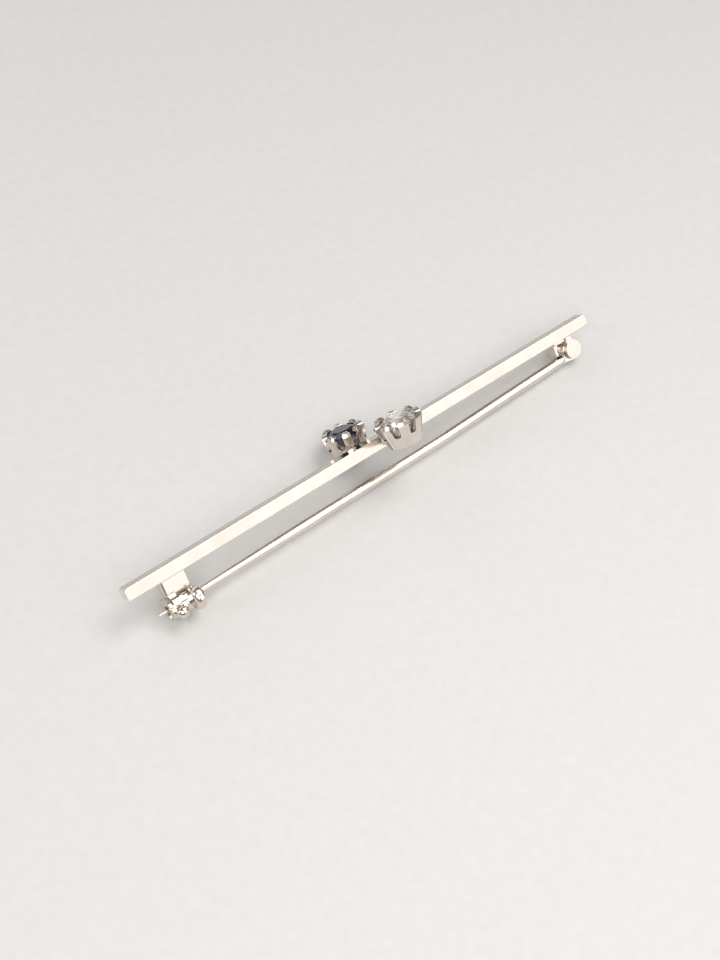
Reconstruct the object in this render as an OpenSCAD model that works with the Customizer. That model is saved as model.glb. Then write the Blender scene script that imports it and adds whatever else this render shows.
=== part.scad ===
/* [Bar] */
// Length of the bar
bar_length = 60; // [58:0.5:66]
// Width and height of the square bar
bar_side = 1.3; // [1.2:0.05:1.4]
// Radius on the corners of the bar's ends
bar_corner_r = 0.4; // [0.2:0.05:0.5]
// Radius along the bar's long edges
bar_edge_r = 0.1; // [0.05:0.05:0.2]

/* [Sapphire collet, on the far side of the bar] */
// Distance along the bar from its middle to the collet
sapphire_x = 1.3; // [1.2:0.05:1.6]
// Distance across from the bar's middle to the collet
sapphire_y = 3; // [2.96:0.02:3.04]
// Height of the claw tips above the bar's middle
sapphire_top_z = 2.33; // [2.25:0.02:2.45]
// Depth of the open base below the bar's middle
sapphire_base_z = 0.47; // [0.42:0.01:0.6]
// Outer radius at the claw tips
sapphire_rim_r = 2.34; // [2.32:0.02:2.4]
// Outer radius at the open base
sapphire_base_r = 1.95; // [1.9:0.01:1.98]
// Radius of the sapphire at its girdle
sapphire_r = 1.94; // [1.9:0.02:1.96]

/* [Diamond collet, on the near side of the bar] */
// Distance along the bar from its middle to the collet
diamond_x = 1.55; // [1.4:0.05:1.7]
// Distance across from the bar's middle to the collet
diamond_y = 3.18; // [3.14:0.02:3.22]
// Height of the claw tips above the bar's middle
diamond_top_z = 2.54; // [2.45:0.02:2.65]
// Depth of the open base below the bar's middle
diamond_base_z = 0.41; // [0.38:0.01:0.5]
// Outer radius at the claw tips
diamond_rim_r = 2.56; // [2.52:0.02:2.58]
// Outer radius at the open base
diamond_base_r = 1.7; // [1.68:0.01:1.74]
// Radius of the diamond at its girdle
diamond_r = 2.08; // [2:0.02:2.1]

/* [Collets and stones] */
// Wall thickness of a collet
collet_wall = 0.3; // [0.25:0.05:0.35]
// Width of the gap between two claws
claw_gap = 0.85; // [0.6:0.05:0.95]
// Distance from the claw tips down to the bottom of the gaps
gap_depth = 1.7; // [1.6:0.05:1.85]
// Distance from the claw tips down to a stone's girdle
girdle_drop = 0.68; // [0.6:0.02:0.75]
// Radius of a stone's table as a share of its girdle's
table_share = 0.57; // [0.5:0.01:0.65]

/* [Hinge] */
// Distance from the middle of the bar to the hinge axis
hinge_x = 26.95; // [26.5:0.05:27.2]
// Depth of the hinge axis below the bar's middle
hinge_depth = 2.14; // [2.1:0.02:2.2]
// Radius of the hinge's round lugs
lug_r = 1.06; // [1:0.02:1.1]
// Thickness of a lug
lug_t = 0.35; // [0.3:0.05:0.4]
// Thickness of the pin's knuckle between the lugs
knuckle_t = 0.84; // [0.7:0.02:0.86]
// Radius of the rivet
rivet_r = 0.41; // [0.35:0.01:0.42]
// Radius of the rivet's head on the far side
rivet_head_r = 0.56; // [0.52:0.01:0.7]

/* [Pin] */
// Diameter of the pin wire along its parallel length
pin_d = 1; // [0.9:0.02:1.06]
// Diameter of the pin wire where it enters the catch
pin_catch_d = 0.62; // [0.5:0.02:0.64]
// Radius of the pin's rounded tip
pin_tip_r = 0.14; // [0.1:0.01:0.2]
// Distance from the middle of the bar to the pin's tip
pin_tip_x = 27.9; // [27.2:0.1:28.5]
// Depth of the pin's tip below the bar's middle
pin_tip_depth = 3.5; // [3.4:0.05:3.6]

/* [Catch] */
// Distance from the middle of the bar to the middle of the catch
catch_x = 25.42; // [25.2:0.02:25.6]
// Length of the catch housing along the bar
housing_length = 0.7; // [0.6:0.02:0.72]
// Outer radius of the catch housing
housing_r = 1.5; // [1.45:0.01:1.5]
// Wall thickness of the catch housing
housing_wall = 0.37; // [0.32:0.01:0.38]
// Radius of the turning barrel
barrel_r = 1.1; // [1.06:0.01:1.1]
// Width of the slot that lets the pin into the barrel
slot_w = 0.8; // [0.76:0.02:0.84]

/* [Hidden] */
$fn = 96;

// How the brooch lies by itself: on the hinge, on the catch and on one collet's edge
lean = 40.99;
pitch = 1.316;
rest_shift = [0, -0.507, 3.572];

half_bar = bar_side / 2;
touch = 0.05;
running_gap = 0.03;
far_past = 4;

// Collets
claw_count = 8;
claw_step = 360 / claw_count;
claw_turn = claw_step / 2;
claw_tip_r = 0.4;
claw_start_r = 1.2;
claw_bead_r = 0.26;
claw_neck = 0.12;
claw_lie = 25;
dip_margin = 0.02;
seam_root = 1.1;
seam_end = 0.55;
seam_low_z = -0.35;
seam_high_z = 0.3;
sapphire_seam_y = 1.14;
diamond_seam_y = 1.57;

// Stone proportions, as shares of the girdle radius
crown_share = 0.3;
pavilion_share = 0.84;
girdle_share = 0.04;
star_share = 0.78;
lower_share = 0.24;

// Hinge
hinge_z = -hinge_depth;
knuckle_gap = 0.05;
lug_in = knuckle_t / 2 + knuckle_gap;
lug_out = lug_in + lug_t;
bore_gap = 0.04;
bracket_start_x = hinge_x - 2.25;
bracket_wall = 0.35;
bracket_floor = 0.22;
bracket_wall_depth = 2.05;
bracket_wall_near = -0.4;
neck_w = 0.8;
neck_x = hinge_x - 0.65;
rivet_head_t = 0.06;
lug_skin = 0.12;
rivet_end = lug_out - lug_skin;

// Pin: a slight bow, bent once, then straight on through the catch
pin_bend = [8, -3.33];
pin_root_x = hinge_x - 0.65;
pin_root_d = 1.08;
pin_root_z = -2.82;
root_flat_x = hinge_x - 1.75;
root_flat_end_x = hinge_x - 0.35;
root_ramp = 0.4;
ramp_rise = 0.15;
pin_taper_x = -10;
catch_mouth_x = -23.4;
pin_run = [pin_bend.x + pin_tip_x, -pin_tip_depth - pin_bend.y];
pin_dive = atan2(-pin_run.y, pin_run.x);
ball_lap = 0.006;
knuckle_r = 1.2;
foot_x = hinge_x - 1.35;
foot_low_z = -3.12;
foot_end_x = hinge_x - 0.19;

// Catch
catch_z = pin_bend.y - (catch_x + pin_bend.x) * tan(pin_dive);
housing_in_r = housing_r - housing_wall;
lip_near = 157;
lip_far = 294;
housing_left = -catch_x - 1.03;
lever_x = -catch_x - 0.09;
base_length = 2.84;
base_shift = 0.17;
base_half_w = 0.62;
base_depth = 2.12;
base_corner_r = 0.45;
base_edge_r = 0.25;
saddle_r = 1;
saddle_bite = 0.03;
slot_rise = 0.42;
barrel_end_left = -26.85;
barrel_end_right = -23.86;
slot_left = barrel_end_left - 1;
slot_right = barrel_end_right + 1;
pad_r = 1.2;
pad_t = 1.2;
pad_edge_r = 0.5;
pad_place = [-24.13, -1.14, 0.08];
knob_r = 0.64;
knob_place = [lever_x - 0.48, -1.25, -0.4];
lever_out_r = 1.45;
lever_t = 0.36;
lever_top = 120;
lever_end = 190;
stud_r = 0.24;
stud_turn = 22;

// Colours
white_gold = [0.87, 0.83, 0.76];
sapphire_blue = [0.05, 0.09, 0.35];
diamond_white = [0.94, 0.95, 0.97];

module as_it_rests() {
    translate(rest_shift) rotate([-lean, pitch, 0]) children();
}

// A solid drawn in X and Z and pushed out to y_from and y_to
module across(y_from, y_to) {
    translate([0, y_to, 0]) rotate([90, 0, 0]) linear_extrude(y_to - y_from) children();
}

// A solid drawn in Y and Z and pushed out to x_from and x_to
module along(x_from, x_to) {
    translate([x_from, 0, 0]) rotate([90, 0, 90]) linear_extrude(x_to - x_from) children();
}

module rounded_rectangle(width, height, r) {
    square([width - 2 * r, height], center = true);
    square([width, height - 2 * r], center = true);
    for (x = [-1, 1], y = [-1, 1])
        translate([x * (width / 2 - r), y * (height / 2 - r)]) circle(r);
}

// A pie slice from angle a to angle b, longer than reach
module slice(a, b, reach) {
    steps = 6;
    arc = [for (i = [0:steps]) let (t = a + (b - a) * i / steps) 2 * reach * [cos(t), sin(t)]];
    polygon(concat([[0, 0]], arc));
}

module bar() {
    intersection() {
        along(-bar_length / 2, bar_length / 2) rounded_rectangle(bar_side, bar_side, bar_edge_r);
        across(-bar_side, bar_side) rounded_rectangle(bar_length, bar_side, bar_corner_r);
    }
}

function cone_r(z, top, base, rim_r, base_r) = base_r + (rim_r - base_r) * (z + base) / (top + base);

// Half section of a collet: a cone, and on it a claw that turns in over the girdle in a round bead
module collet_section(top, base, rim_r, base_r, stone_r) {
    seat_r = stone_r + running_gap;
    girdle_z = top - girdle_drop;
    floor_z = top - gap_depth;
    bead_x = rim_r - claw_bead_r - claw_neck;
    bead_z = top - claw_bead_r;
    polygon([
        [base_r - collet_wall, -base],
        [base_r, -base],
        [rim_r, top - 2 * claw_bead_r],
        [bead_x + claw_bead_r * cos(claw_lie), bead_z + claw_bead_r * sin(claw_lie)],
        [bead_x, bead_z],
        [bead_x - claw_bead_r * sin(claw_lie), bead_z - claw_bead_r * cos(claw_lie)],
        [seat_r, girdle_z + claw_neck],
        [seat_r, girdle_z - claw_neck],
        [cone_r(floor_z, top, base, rim_r, base_r) - collet_wall, floor_z]
    ]);
    translate([bead_x, bead_z]) circle(claw_bead_r);
}

// Outline of one claw, seen from the side, with a round tip
module claw_outline(top, width) {
    root_z = top - gap_depth - touch;
    flat = width / 2 - claw_tip_r;
    translate([-width / 2, root_z]) square([width, top - claw_tip_r - root_z]);
    translate([-flat, root_z]) square([2 * flat, top - root_z]);
    for (side = [-1, 1]) translate([side * flat, top - claw_tip_r]) circle(claw_tip_r);
}

// An open-backed collet that stands on its axis
module collet(top, base, rim_r, base_r, stone_r) {
    width = 2 * PI * (rim_r - collet_wall / 2) / claw_count - claw_gap;
    dip_z = top - gap_depth + claw_gap / 2;
    // The closed ring below the claws, whose upper edge dips between them in a U
    difference() {
        intersection() {
            rotate_extrude() collet_section(top, base, rim_r, base_r, stone_r);
            translate([0, 0, -base - touch]) cylinder(h = dip_z + base + touch, r = 2 * rim_r);
        }
        for (i = [0:claw_count - 1]) rotate(claw_step * i) translate([claw_start_r, 0, dip_z])
            rotate([0, 90, 0]) cylinder(h = rim_r, r = claw_gap / 2 + dip_margin);
    }
    for (i = [0:claw_count - 1]) rotate(claw_turn + claw_step * i) intersection() {
        rotate_extrude() collet_section(top, base, rim_r, base_r, stone_r);
        along(claw_start_r, rim_r + claw_start_r) claw_outline(top, width);
    }
}

// The seam that joins a collet at x to the far side of the bar and narrows towards y
module solder_seam(x, y) {
    start = half_bar - touch;
    translate([x, 0, seam_low_z]) linear_extrude(seam_high_z - seam_low_z)
        polygon([[-seam_root, start], [seam_root, start], [seam_end, y], [-seam_end, y]]);
}

module hinge_bracket() {
    lug_top = -half_bar + touch;
    wall_end = bracket_start_x + bracket_wall;
    // Floor under the bar
    across(-half_bar, half_bar) translate([bracket_start_x, -half_bar - bracket_floor])
        square([neck_x + neck_w - bracket_start_x, bracket_floor + touch]);
    // End wall that the pin's root would meet
    across(bracket_wall_near, lug_out) translate([bracket_start_x, -bracket_wall_depth])
        square([bracket_wall, bracket_wall_depth - half_bar + touch]);
    // Far lug, a plate with a round end
    difference() {
        across(lug_in, lug_out) {
            translate([hinge_x, hinge_z]) circle(lug_r);
            translate([wall_end - touch, -bracket_wall_depth])
                square([hinge_x - wall_end, bracket_wall_depth + lug_top]);
            translate([neck_x, hinge_z]) square([neck_w, lug_top - hinge_z]);
        }
        rivet_bore();
    }
    // Near lug, round, with a closed outer face
    difference() {
        across(-lug_out, -lug_in) {
            translate([hinge_x, hinge_z]) circle(lug_r);
            translate([neck_x, hinge_z]) square([neck_w, lug_top - hinge_z]);
        }
        rivet_bore();
    }
    // Ledges that carry the lugs beside the bar's lower edges
    for (side = [-1, 1]) across(min(side * lug_in, side * lug_out), max(side * lug_in, side * lug_out))
        translate([neck_x, -half_bar - bracket_floor]) square([neck_w, bracket_floor + touch]);
}

module rivet_bore() {
    across(-rivet_end, far_past) translate([hinge_x, hinge_z]) circle(rivet_r + bore_gap);
}

// Section of the catch housing: a C open downwards and towards the near side, with round lips,
// which runs up into the block in two hollow curves
module housing_section() {
    lip_r = housing_wall / 2;
    mid_r = housing_r - lip_r;
    curve_y = base_half_w + saddle_r;
    curve_z = sqrt((housing_r + saddle_r - saddle_bite) ^ 2 - curve_y ^ 2);
    foot = housing_r / (housing_r + saddle_r) * [curve_y, curve_z];
    difference() {
        union() {
            circle(housing_r);
            translate([-foot.x, 0]) square([2 * foot.x, curve_z]);
        }
        circle(housing_in_r);
        slice(lip_near, lip_far, housing_r);
        for (side = [-1, 1]) translate([side * curve_y, curve_z]) circle(saddle_r);
    }
    for (a = [lip_near, lip_far]) rotate(a) translate([mid_r, 0]) circle(lip_r);
}

module catch_housing() {
    translate([0, 0, catch_z]) along(housing_left, housing_left + housing_length) housing_section();
    base_block();
    // Small stud on the far side of the C
    translate([housing_left + stud_r / 3, 0, catch_z]) rotate([stud_turn, 0, 0]) translate([0, housing_r, 0])
        rotate([-90, 0, 0]) sphere(stud_r);
}

// The rounded block that carries the catch under the bar
module base_block() {
    flat = base_length / 2 - base_corner_r;
    translate([base_shift - catch_x, 0, 0]) intersection() {
        across(-base_half_w, base_half_w) {
            translate([-base_length / 2, -base_depth + base_corner_r])
                square([base_length, base_depth - base_corner_r - half_bar + touch]);
            translate([-flat, -base_depth]) square([2 * flat, base_depth - half_bar]);
            for (side = [-1, 1]) translate([side * flat, -base_depth + base_corner_r]) circle(base_corner_r);
        }
        translate([0, 0, -base_depth - touch]) linear_extrude(base_depth)
            rounded_rectangle(base_length, 2 * base_half_w, base_edge_r);
    }
}

module bar_frame() {
    color(white_gold) as_it_rests() {
        bar();
        translate([-sapphire_x, sapphire_y, 0])
            collet(sapphire_top_z, sapphire_base_z, sapphire_rim_r, sapphire_base_r, sapphire_r);
        translate([diamond_x, -diamond_y, 0])
            collet(diamond_top_z, diamond_base_z, diamond_rim_r, diamond_base_r, diamond_r);
        solder_seam(-sapphire_x, sapphire_seam_y);
        mirror([0, 1, 0]) solder_seam(diamond_x, diamond_seam_y);
        hinge_bracket();
        catch_housing();
    }
}

module hinge_rivet() {
    head_in = lug_out + running_gap;
    color(white_gold) as_it_rests() {
        across(running_gap - rivet_end, head_in + touch) translate([hinge_x, hinge_z]) circle(rivet_r);
        across(head_in, head_in + rivet_head_t) translate([hinge_x, hinge_z]) circle(rivet_head_r);
    }
}

module pin_stem() {
    run = [pin_bend.x - pin_root_x, pin_bend.y - pin_root_z];
    color(white_gold) as_it_rests() {
        difference() {
            translate([pin_root_x, 0, pin_root_z]) rotate([0, 90 - atan2(run.y, run.x), 0])
                cylinder(h = norm(run), r1 = pin_root_d / 2, r2 = pin_d / 2);
            root_flats();
        }
        translate([pin_bend.x, 0, pin_bend.y]) rotate([0, -90 - pin_dive, 0]) {
            sphere(pin_d / 2 + ball_lap);
            pin_run_to_tip();
        }
        knuckle();
    }
}

// The straight run from the bend: parallel, then tapered, with a rounded tip
module pin_run_to_tip() {
    to_tip = norm(pin_run) - pin_tip_r;
    stretch = 1 / cos(pin_dive);
    rotate_extrude() polygon([
        [0, 0],
        [pin_d / 2, 0],
        [pin_d / 2, (pin_bend.x - pin_taper_x) * stretch],
        [pin_catch_d / 2, (pin_bend.x - catch_mouth_x) * stretch],
        [pin_tip_r - ball_lap, to_tip],
        [0, to_tip]
    ]);
    translate([0, 0, to_tip]) sphere(pin_tip_r);
}

// What is filed off both sides of the wire where it runs into the knuckle
module root_flats() {
    half = knuckle_t / 2;
    low_z = pin_root_z - pin_root_d;
    for (side = [-1, 1]) translate([0, 0, low_z]) linear_extrude(2 * pin_root_d) polygon([
        [root_flat_x, side * pin_root_d],
        [root_flat_x, side * (half + ramp_rise)],
        [root_flat_x + root_ramp, side * half],
        [root_flat_end_x, side * half],
        [root_flat_end_x, side * pin_root_d]
    ]);
}

// The flat round knuckle, and the short foot that joins it to the wire
module knuckle() {
    foot_top = pin_root_z + pin_root_d / 2 - touch;
    difference() {
        across(-knuckle_t / 2, knuckle_t / 2) {
            translate([hinge_x, hinge_z]) circle(knuckle_r);
            polygon([
                [foot_x, foot_top],
                [foot_x, foot_low_z],
                [foot_end_x, hinge_z - sqrt(knuckle_r ^ 2 - (hinge_x - foot_end_x) ^ 2)],
                [hinge_x, hinge_z],
                [hinge_x, foot_top]
            ]);
        }
        rivet_bore();
    }
}

// Finger pad on the barrel's right end: a thick disc with a rounded rim
module finger_pad() {
    flat_r = pad_r - pad_edge_r;
    rotate([0, 90, 0]) rotate_extrude() intersection() {
        translate([0, -pad_t]) square([2 * pad_r, 2 * pad_t]);
        union() {
            square([2 * flat_r, pad_t], center = true);
            for (side = [-1, 1]) translate([flat_r, side * (pad_t / 2 - pad_edge_r)]) circle(pad_edge_r);
            square([2 * pad_r, pad_t - 2 * pad_edge_r], center = true);
        }
    }
}

module catch_rotor() {
    color(white_gold) as_it_rests() translate([0, 0, catch_z]) {
        difference() {
            union() {
                along(barrel_end_left, barrel_end_right) circle(barrel_r);
                translate(pad_place) finger_pad();
            }
            // The slot, open downwards and from end to end
            along(slot_left, slot_right) translate([-slot_w / 2, -2 * housing_r])
                square([slot_w, 2 * housing_r + slot_rise]);
        }
        // The short lever that runs down to the knob
        along(lever_x - lever_t / 2, lever_x + lever_t / 2) difference() {
            circle(lever_out_r);
            circle(barrel_r - touch);
            slice(lever_end, 360 + lever_top, lever_out_r);
        }
        difference() {
            translate(knob_place) rotate([atan2(-knob_place.y, knob_place.z), 0, 0]) sphere(knob_r);
            along(slot_left, slot_right) circle(barrel_r - touch);
        }
    }
}

function ring(r, z, turn = 0, count = 8) =
    [for (i = [0:count - 1]) let (a = 360 / count * i + turn) [r * cos(a), r * sin(a), z]];

// A round stone in brilliant cut. Each kite is flat, so the mid ring's height follows from its radius.
module brilliant(r) {
    table_r = table_share * r;
    table_z = crown_share * r;
    edge_z = girdle_share * r / 2;
    star_r = star_share * r;
    star_z = edge_z + (table_z - edge_z) * (r - star_r * cos(22.5)) / (r - table_r);
    culet_z = -pavilion_share * r;
    lower_r = lower_share * r;
    lower_z = -edge_z + (culet_z + edge_z) * (r - lower_r * cos(22.5)) / r;
    points = concat(
        ring(table_r, table_z),
        ring(star_r, star_z, 22.5),
        ring(r, edge_z, 0, 16),
        ring(r, -edge_z, 0, 16),
        ring(lower_r, lower_z, 22.5),
        [[0, 0, culet_z]]
    );
    table = 0;
    star = 8;
    top = 16;
    bottom = 32;
    lower = 48;
    culet = 56;
    at8 = function (base, i) base + (i + 8) % 8;
    at16 = function (base, i) base + (i + 16) % 16;
    faces = concat(
        [[for (i = [7:-1:0]) table + i]],
        [for (i = [0:7]) [at8(table, i), at8(table, i + 1), at8(star, i)]],
        [for (i = [0:7]) [at8(table, i), at8(star, i), at16(top, 2 * i)]],
        [for (i = [0:7]) [at8(table, i), at16(top, 2 * i), at8(star, i - 1)]],
        [for (i = [0:7]) [at8(star, i), at16(top, 2 * i + 1), at16(top, 2 * i)]],
        [for (i = [0:7]) [at8(star, i), at16(top, 2 * i + 2), at16(top, 2 * i + 1)]],
        [for (i = [0:15]) [at16(top, i), at16(top, i + 1), at16(bottom, i + 1), at16(bottom, i)]],
        [for (i = [0:7]) [at8(lower, i), at16(bottom, 2 * i), at16(bottom, 2 * i + 1)]],
        [for (i = [0:7]) [at8(lower, i), at16(bottom, 2 * i + 1), at16(bottom, 2 * i + 2)]],
        [for (i = [0:7]) [culet, at16(bottom, 2 * i), at8(lower, i)]],
        [for (i = [0:7]) [culet, at8(lower, i - 1), at16(bottom, 2 * i)]]
    );
    polyhedron(points, faces);
}

module sapphire() {
    color(sapphire_blue) as_it_rests() translate([-sapphire_x, sapphire_y, sapphire_top_z - girdle_drop])
        brilliant(sapphire_r);
}

module diamond() {
    color(diamond_white) as_it_rests() translate([diamond_x, -diamond_y, diamond_top_z - girdle_drop])
        brilliant(diamond_r);
}

bar_frame();
hinge_rivet();
pin_stem();
catch_rotor();
sapphire();
diamond();
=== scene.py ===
"""Bar brooch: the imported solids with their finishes, on a pale floor under soft light.

The camera stands where it stood for the photograph.
"""
import math

import bpy
from mathutils import Matrix, Vector

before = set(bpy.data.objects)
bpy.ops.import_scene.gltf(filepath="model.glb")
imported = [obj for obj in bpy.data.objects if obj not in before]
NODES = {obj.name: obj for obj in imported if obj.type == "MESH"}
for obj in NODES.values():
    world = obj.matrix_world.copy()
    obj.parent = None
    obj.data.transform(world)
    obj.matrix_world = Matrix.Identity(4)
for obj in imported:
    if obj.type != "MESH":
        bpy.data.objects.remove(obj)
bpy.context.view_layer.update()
MM = 0.001

# How the brooch lies: its own axes, turned by these angles about the row's X and Y and then moved
LEAN = math.radians(40.99)
PITCH = math.radians(1.316)
REST_SHIFT = Vector((0.0, -0.507, 3.572)) * MM

# The way that its front looks, in its own axes
FRONT = Vector((0.0, 0.0, 1.0))

# The camera, fitted to the photograph: its heading goes from +Y towards +X, its elevation downwards.
# It shows what is between its two clip distances, in metres
CAMERA_AT = Vector((-63.181, -62.016, 112.716)) * MM
CAMERA_HEADING = math.radians(45.063)
CAMERA_ELEVATION = math.radians(52.590)
CAMERA_ROLL = math.radians(6.264)
LENS_MM = 46.78
SENSOR_HEIGHT_MM = 32.0
CLIP_START = 0.005
CLIP_END = 10.0

# The even light of the world, and the softboxes: name, place, aim, width and height in mm, power in
# watts, colour
WORLD_COLOUR = (0.90, 0.885, 0.86, 1.0)
WORLD_STRENGTH = 0.27
SOFTBOXES = [
    # The bar's near side and the pin mirror this one towards the camera
    ("key_softbox", (109, -195, 135), (0, 0, 2), (230, 220), 0.19, (1.0, 0.965, 0.96)),
    ("top_softbox", (130, -20, 280), (0, 0, 0), (200, 200), 0.47, (1.0, 0.985, 0.965)),
    # This one, from behind the camera, fills the collets, the catch and the shadows
    ("fill_softbox", (-125, -125, 195), (0, 0, 0), (210, 170), 0.34, (1.0, 0.985, 0.96)),
    ("back_softbox", (-40, 230, 150), (0, 0, 0), (240, 160), 0.14, (1.0, 0.985, 0.965)),
    ("left_strip", (-230, 60, 120), (0, 0, 0), (60, 180), 0.10, (0.95, 0.97, 1.0)),
]

# The floor: half its width in metres, and its paint. A noise scale is a number of repeats in a metre
FLOOR_HALF = 1.2
FLOOR_TONES = [(0.3, (0.655, 0.65, 0.64)), (0.7, (0.685, 0.68, 0.67))]
FLOOR_ROUGHNESS = 0.55
FLOOR_GRAIN_SCALE = 900.0
FLOOR_GRAIN_STRENGTH = 0.12
FLOOR_GRAIN_DEPTH = 0.02 * MM

# White gold: its cloudy tones and the paler tone of the worn lines
GOLD_TONES = [
    (0.30, (0.72, 0.645, 0.58)),
    (0.52, (0.79, 0.72, 0.655)),
    (0.75, (0.85, 0.79, 0.73)),
]
GOLD_WORN = (0.90, 0.85, 0.80)
WORN_SHARE = 0.35
CLOUD_SCALE = 420.0
SPECK_SCALE = 5200.0
SPECK_SHARE = 0.35
SCRATCH_DEPTH = 0.004 * MM
EDGE_RADIUS = 0.05 * MM
EDGE_SAMPLES = 6

# The polishing lines' noise scales along the bar, across it and out of its front
BAR_LINES = (120.0, 9000.0, 9000.0)
PIN_LINES = (90.0, 7000.0, 7000.0)
RIVET_LINES = (3000.0, 3000.0, 3000.0)
ROTOR_LINES = (2500.0, 2500.0, 2500.0)

# The painted shade's colour, its mottles' noise scales, and its strength where it is weak and strong
PAINTED_SHADE_COLOUR = (0.41, 0.385, 0.36)
PAINTED_SHADE_SCALES = (800.0, 5200.0, 5200.0)
FAINT_PAINTED_SHADE = (0.05, 0.2)
BAR_PAINTED_SHADE = (0.3, 0.62)

# The parts of a value's range that count, each from its low to its high end
WORN_LINES = (0.45, 0.75)
ROUGH_LINES = (0.4, 0.7)
ROUGH_CLOUDS = (0.25, 0.8)
# These two ranges shape the painted shade: its mottles, and how far a face looks out of the front
MOTTLE_EDGE = (0.38, 0.62)
FRONT_EDGE = (0.5, 0.95)
WEAR_EDGE = (0.3, 0.8)

# What lines and clouds do to a metal's roughness, as shares of it
LINE_ROUGHNESS = 0.6
CLOUD_ROUGHNESS = (0.7, 1.5)

# The stones: the tones of their faint zones, how the light bends in them, and how clear they are
SAPPHIRE_TONES = [(0.35, (0.001, 0.002, 0.022)), (0.68, (0.005, 0.014, 0.14))]
SAPPHIRE_IOR = 1.77
DIAMOND_TONES = [(0.35, (0.99, 0.94, 0.88)), (0.68, (1.0, 0.99, 0.97))]
DIAMOND_IOR = 2.418
DIAMOND_CLEARNESS = 0.86
ZONE_STRETCH = (1.0, 0.4, 1.0)
WEAR_SCALE = 2600.0
WEAR_ROUGHNESS = 0.035
WEAR_STRENGTH = 0.04
WEAR_DEPTH = 0.001 * MM

# The mix node's sockets for its factor, for two colours and for their mixture
MIX_FACTOR = 0
MIX_A = 6
MIX_B = 7
MIX_RESULT = 2


def brooch_axes():
    """The matrix from the brooch's own axes to the row's: X along its bar, Z out of its front."""
    pitched = Matrix.Rotation(PITCH, 4, "Y")
    leaned = Matrix.Rotation(-LEAN, 4, "X")
    return Matrix.Translation(REST_SHIFT) @ pitched @ leaned


TO_ROW = brooch_axes()


# Camera

def make_camera():
    """The scene's only camera, at its fitted place."""
    heading, elevation, roll = CAMERA_HEADING, CAMERA_ELEVATION, CAMERA_ROLL
    look = Vector((math.cos(elevation) * math.sin(heading),
                   math.cos(elevation) * math.cos(heading),
                   -math.sin(elevation)))
    level = Vector((math.cos(heading), -math.sin(heading), 0.0))
    upright = level.cross(look)
    right = math.cos(roll) * level + math.sin(roll) * upright
    up = -math.sin(roll) * level + math.cos(roll) * upright
    data = bpy.data.cameras.new("camera")
    data.sensor_fit = "VERTICAL"
    data.sensor_height = SENSOR_HEIGHT_MM
    data.lens = LENS_MM
    data.clip_start = CLIP_START
    data.clip_end = CLIP_END
    camera = bpy.data.objects.new("camera", data)
    bpy.context.scene.collection.objects.link(camera)
    turn = Matrix((right, up, -look)).transposed().to_4x4()
    camera.matrix_world = Matrix.Translation(CAMERA_AT) @ turn
    bpy.context.scene.camera = camera


# Light and floor

def area_light(name, at, aim, size, power, colour):
    """A rectangular light at one place that faces another, both in mm."""
    data = bpy.data.lights.new(name, "AREA")
    data.shape = "RECTANGLE"
    data.size, data.size_y = (v * MM for v in size)
    data.energy = power
    data.color = colour
    lamp = bpy.data.objects.new(name, data)
    bpy.context.scene.collection.objects.link(lamp)
    at, aim = Vector(at) * MM, Vector(aim) * MM
    turn = (aim - at).to_track_quat("-Z", "Y").to_matrix().to_4x4()
    lamp.matrix_world = Matrix.Translation(at) @ turn


def make_studio():
    """The world, the softboxes, and a view transform that leaves pale tones as they are."""
    world = bpy.data.worlds.new("studio")
    world.use_nodes = True
    background = world.node_tree.nodes["Background"]
    background.inputs["Color"].default_value = WORLD_COLOUR
    background.inputs["Strength"].default_value = WORLD_STRENGTH
    bpy.context.scene.world = world
    for softbox in SOFTBOXES:
        area_light(*softbox)
    bpy.context.scene.view_settings.view_transform = "Standard"


def make_floor():
    """The pale square floor under the brooch, with a faint grain."""
    mesh = bpy.data.meshes.new("floor")
    half = FLOOR_HALF
    corners = [(-half, -half, 0), (half, -half, 0), (half, half, 0), (-half, half, 0)]
    mesh.from_pydata(corners, [], [(0, 1, 2, 3)])
    floor = bpy.data.objects.new("floor", mesh)
    bpy.context.scene.collection.objects.link(floor)
    paint = Nodes("floor_paint")
    grain = paint.noise(paint.place(), FLOOR_GRAIN_SCALE, detail=4.0, roughness=0.55)
    paint.shader.inputs["Roughness"].default_value = FLOOR_ROUGHNESS
    paint.set_colour(paint.ramp(grain, FLOOR_TONES))
    paint.bump(grain, FLOOR_GRAIN_STRENGTH, FLOOR_GRAIN_DEPTH)
    mesh.materials.append(paint.material)


# Materials

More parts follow.
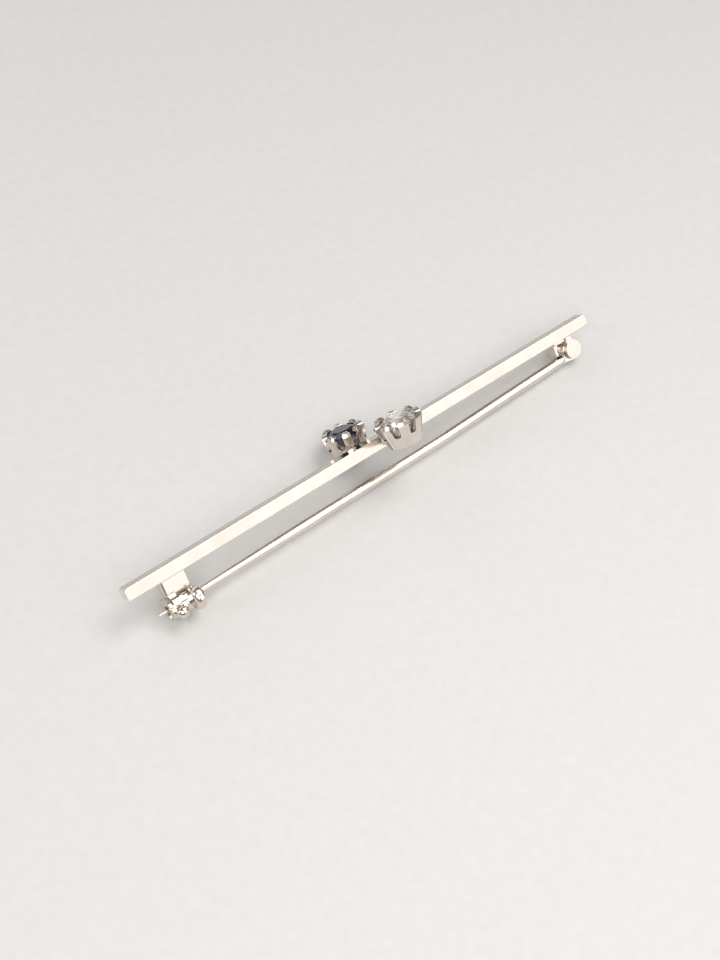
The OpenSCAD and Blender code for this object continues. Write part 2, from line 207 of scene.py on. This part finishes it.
class Nodes:
    """A material with one principled shader, and short calls that add nodes to it."""

    def __init__(self, name):
        self.material = bpy.data.materials.new(name)
        self.material.use_nodes = True
        self.tree = self.material.node_tree
        self.shader = self.tree.nodes["Principled BSDF"]

    def add(self, kind, **values):
        """A new node with its own settings."""
        node = self.tree.nodes.new(kind)
        for key, value in values.items():
            setattr(node, key, value)
        return node

    def link(self, out, into):
        self.tree.links.new(out, into)

    def place(self):
        """Object coordinates, in metres along the row's axes."""
        return self.add("ShaderNodeTexCoord").outputs["Object"]

    def brooch_place(self, scales):
        """Coordinates along the brooch's own axes, each times its scale."""
        mapping = self.add("ShaderNodeMapping", vector_type="TEXTURE")
        mapping.inputs["Rotation"].default_value = TO_ROW.to_euler()
        mapping.inputs["Scale"].default_value = [1.0 / scale for scale in scales]
        self.link(self.place(), mapping.inputs["Vector"])
        return mapping.outputs["Vector"]

    def facing_front(self):
        """How far the surface looks out of the brooch's front, from -1 to 1."""
        node = self.add("ShaderNodeVectorMath", operation="DOT_PRODUCT")
        self.link(self.add("ShaderNodeTexCoord").outputs["Normal"], node.inputs[0])
        node.inputs[1].default_value = TO_ROW.to_3x3() @ FRONT
        return node.outputs["Value"]

    def noise(self, place, scale=1.0, detail=2.0, roughness=0.5, distortion=0.0):
        """Cloudy noise, from 0 to 1."""
        node = self.add("ShaderNodeTexNoise")
        node.inputs["Scale"].default_value = scale
        node.inputs["Detail"].default_value = detail
        node.inputs["Roughness"].default_value = roughness
        node.inputs["Distortion"].default_value = distortion
        self.link(place, node.inputs["Vector"])
        return node.outputs["Fac"]

    def ramp(self, value, stops):
        """The colour at a value, between stops with a place and a colour each."""
        node = self.add("ShaderNodeValToRGB")
        ramp = node.color_ramp
        while len(ramp.elements) < len(stops):
            ramp.elements.new(position=0.5)
        for element, (at, colour) in zip(ramp.elements, stops):
            element.position = at
            element.color = (*colour, 1.0)
        self.link(value, node.inputs["Fac"])
        return node.outputs["Color"]

    def span(self, value, part, result):
        """Part of a value's range, from low to high, brought to the result's low and high."""
        node = self.add("ShaderNodeMapRange")
        node.inputs["From Min"].default_value, node.inputs["From Max"].default_value = part
        node.inputs["To Min"].default_value, node.inputs["To Max"].default_value = result
        self.link(value, node.inputs["Value"])
        return node.outputs["Result"]

    def combine(self, operation, a, b):
        """The sum or product of a value and another value or plain number."""
        node = self.add("ShaderNodeMath", operation=operation)
        self.link(a, node.inputs[0])
        if isinstance(b, float):
            node.inputs[1].default_value = b
        else:
            self.link(b, node.inputs[1])
        return node.outputs[0]

    def mix(self, factor, a, b):
        """Colour a where factor is 0, and the plain colour b where it is 1."""
        node = self.add("ShaderNodeMix", data_type="RGBA")
        self.link(factor, node.inputs[MIX_FACTOR])
        self.link(a, node.inputs[MIX_A])
        node.inputs[MIX_B].default_value = (*b, 1.0)
        return node.outputs[MIX_RESULT]

    def set_colour(self, colour):
        self.link(colour, self.shader.inputs["Base Color"])

    def bump(self, height, strength, distance, normal=None):
        """Fine relief from a height, on top of a normal where one is given."""
        node = self.add("ShaderNodeBump")
        node.inputs["Strength"].default_value = strength
        node.inputs["Distance"].default_value = distance
        self.link(height, node.inputs["Height"])
        if normal is not None:
            self.link(normal, node.inputs["Normal"])
        self.link(node.outputs["Normal"], self.shader.inputs["Normal"])


def white_gold(name, line_scales, roughness, scratch, painted_shade=FAINT_PAINTED_SHADE):
    """Polished white gold: warm white metal with fine polishing lines and softened edges. Its front
    faces get a mottled grey brown painted shade, whose strength goes from the last argument's first to
    its second number."""
    gold = Nodes(name)
    shader = gold.shader
    shader.inputs["Metallic"].default_value = 1.0
    lines = gold.noise(gold.brooch_place(line_scales), detail=3.0, roughness=0.6)
    specks = gold.noise(gold.place(), SPECK_SCALE)
    clouds = gold.noise(gold.place(), CLOUD_SCALE, detail=4.0, roughness=0.55, distortion=0.4)
    worn = gold.mix(gold.span(lines, WORN_LINES, (0.0, WORN_SHARE)), gold.ramp(clouds, GOLD_TONES),
                    GOLD_WORN)
    # Painted shade: a mottled grey brown darkening on the faces that look out of the brooch's front
    mottle = gold.noise(gold.brooch_place(PAINTED_SHADE_SCALES), detail=6.0, roughness=0.74, distortion=0.3)
    front = gold.span(gold.facing_front(), FRONT_EDGE, (0.0, 1.0))
    strength = gold.combine("MULTIPLY", gold.span(mottle, MOTTLE_EDGE, painted_shade), front)
    gold.set_colour(gold.mix(strength, worn, PAINTED_SHADE_COLOUR))
    cloud_rough = gold.span(clouds, ROUGH_CLOUDS, [roughness * share for share in CLOUD_ROUGHNESS])
    line_rough = gold.span(lines, ROUGH_LINES, (0.0, roughness * LINE_ROUGHNESS))
    gold.link(gold.combine("ADD", cloud_rough, line_rough), shader.inputs["Roughness"])
    edges = gold.add("ShaderNodeBevel", samples=EDGE_SAMPLES)
    edges.inputs["Radius"].default_value = EDGE_RADIUS
    height = gold.combine("ADD", lines, gold.combine("MULTIPLY", specks, SPECK_SHARE))
    gold.bump(height, scratch, SCRATCH_DEPTH, edges.outputs["Normal"])
    return gold.material


def gemstone(name, ior, clearness, tones, zone_scale):
    """A cut stone: very smooth, with faint zones of colour, and as milky as clearness leaves it."""
    gem = Nodes(name)
    shader = gem.shader
    shader.inputs["Transmission Weight"].default_value = clearness
    shader.inputs["IOR"].default_value = ior
    zones = gem.noise(gem.brooch_place(ZONE_STRETCH), zone_scale, distortion=0.6)
    gem.set_colour(gem.ramp(zones, tones))
    wear = gem.noise(gem.place(), WEAR_SCALE, detail=3.0)
    gem.link(gem.span(wear, WEAR_EDGE, (0.0, WEAR_ROUGHNESS)), shader.inputs["Roughness"])
    gem.bump(wear, WEAR_STRENGTH, WEAR_DEPTH)
    return gem.material


def finish_nodes():
    """Each solid's own material, in place of the plain one that it came with."""
    finishes = {
        # The bar's front faces get the strongest painted shade
        "bar_frame": white_gold("white_gold_bar", BAR_LINES, roughness=0.15, scratch=0.35,
                                painted_shade=BAR_PAINTED_SHADE),
        "hinge_rivet": white_gold("white_gold_rivet", RIVET_LINES, roughness=0.13, scratch=0.25),
        "pin_stem": white_gold("white_gold_pin", PIN_LINES, roughness=0.12, scratch=0.3),
        "catch_rotor": white_gold("white_gold_rotor", ROTOR_LINES, roughness=0.14, scratch=0.25),
        "sapphire": gemstone("sapphire_blue", SAPPHIRE_IOR, clearness=1.0, tones=SAPPHIRE_TONES,
                             zone_scale=500.0),
        "diamond": gemstone("diamond_clear", DIAMOND_IOR, DIAMOND_CLEARNESS, tones=DIAMOND_TONES,
                            zone_scale=700.0),
    }
    for name, material in finishes.items():
        for slot in NODES[name].material_slots:
            slot.material = material


make_camera()
make_studio()
make_floor()
finish_nodes()
